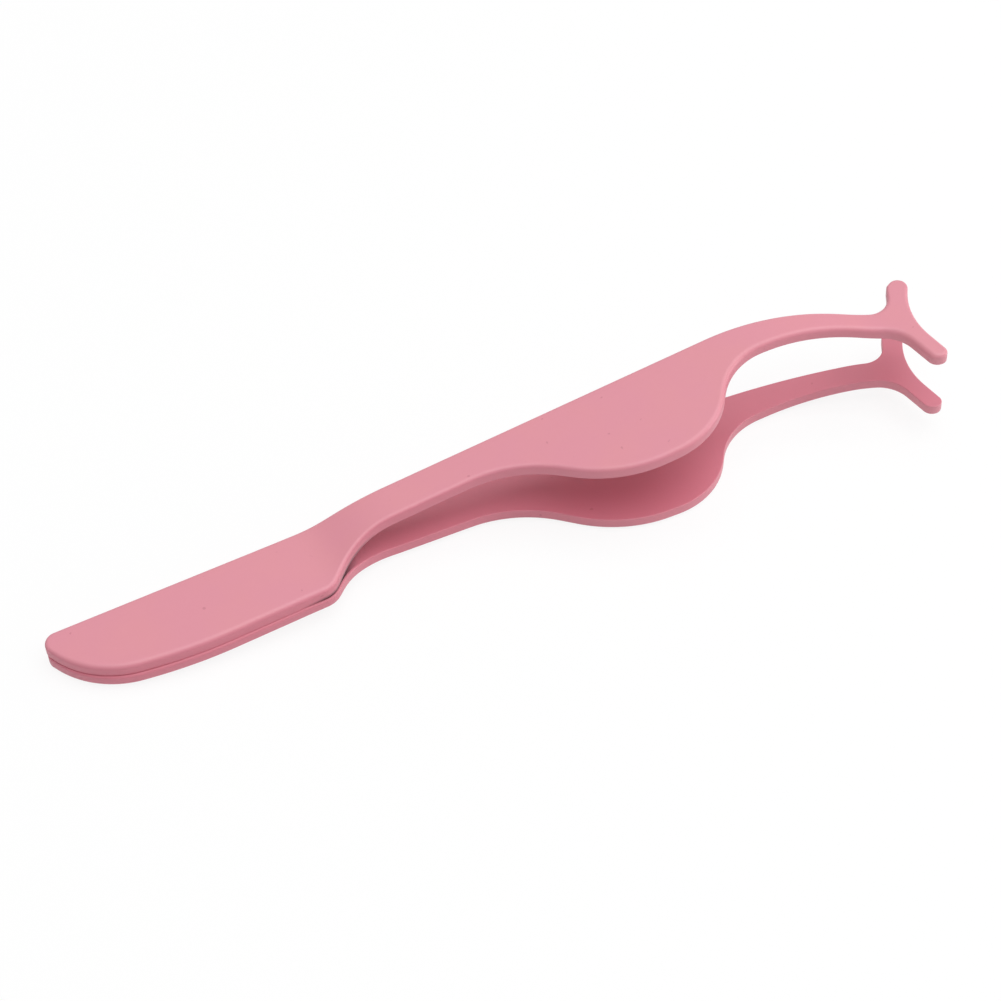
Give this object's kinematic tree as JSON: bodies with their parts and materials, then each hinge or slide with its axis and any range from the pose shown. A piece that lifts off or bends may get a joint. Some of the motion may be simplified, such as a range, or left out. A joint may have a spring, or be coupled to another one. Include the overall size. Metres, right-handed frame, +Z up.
{
  "type": "false eyelash applicator tweezers",
  "caption": "Sprung tweezers of two bent sheet leaves joined at a flat tail, with a broad finger pad and a T-shaped curved jaw that grips a lash strip.",
  "frame": {"origin": "bottom centre of the part's box as it lies on a table, on its tail end and on the crown of the lower leaf", "axes": "+X from the tail to the jaw, +Y towards the straight spine edge, +Z up; the seam plane is pitched up by 3.39 degrees about -Y"},
  "size_m": [0.1118, 0.0146, 0.014],
  "materials": {
    "pink_coat": "matt pink coating over sheet steel, slightly grainy",
    "weld_steel": "fused steel inside the seam, out of sight"
  },
  "bodies": {
    "tail": {"upper_tail": "pink_coat", "lower_tail": "pink_coat", "spot_welds": "weld_steel"},
    "upper_leaf": {"upper_arm": "pink_coat"},
    "lower_leaf": {"lower_arm": "pink_coat"}
  },
  "joints": [
    {"name": "upper_squeeze", "type": "hinge", "parent": "tail", "child": "upper_leaf", "pos_m": [-0.00896, 0.00508, 0.00678], "axis": [0, 1, 0], "range_deg": [0, 3.21], "stiffness_Nm_per_rad": 5},
    {"name": "lower_squeeze", "type": "hinge", "parent": "tail", "child": "lower_leaf", "pos_m": [-0.00868, 0.00508, 0.00215], "axis": [0, -1, 0], "range_deg": [0, 3.21], "stiffness_Nm_per_rad": 5}
  ]
}
